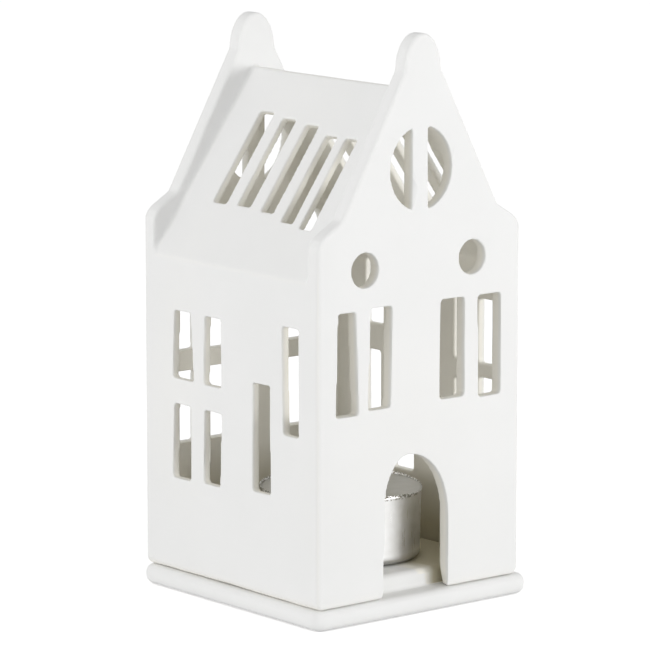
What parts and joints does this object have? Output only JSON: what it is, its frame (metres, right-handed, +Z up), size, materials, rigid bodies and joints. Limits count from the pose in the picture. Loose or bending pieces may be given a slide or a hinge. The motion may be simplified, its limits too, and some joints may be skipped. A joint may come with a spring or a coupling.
{
  "type": "ceramic house lantern",
  "caption": "Hollow ceramic canal house with cut-out windows, roof slots and an arched door, standing on a base plate over a tealight.",
  "frame": {"origin": "centre of the base plate's underside, which is the bottom centre of the object's box", "axes": "+Z up; -Y towards the front gable with the door; +X to the right of a person facing the door"},
  "size_m": [0.0636, 0.0658, 0.1329],
  "materials": {
    "ceramic": "matte white, soft unglazed surface",
    "cup_metal": "thin drawn foil with fine upright streaks",
    "wax": "white candle wax, satin",
    "wick_cotton": "waxed braided cotton",
    "sustainer_metal": "thin tinned sheet"
  },
  "bodies": {
    "base": {"base_plate": "ceramic"},
    "house": {"house_shell": "ceramic"},
    "tealight": {"tealight_cup": "cup_metal", "wax": "wax", "wick": "wick_cotton", "wick_sustainer": "sustainer_metal"}
  },
  "joints": [
    {"name": "house_lift", "type": "slide", "parent": "base", "child": "house", "axis": [0, 0, 1], "range_m": [0, 0.16]},
    {"name": "tealight_lift", "type": "slide", "parent": "base", "child": "tealight", "axis": [0, 0, 1], "range_m": [0, 0.045]}
  ]
}
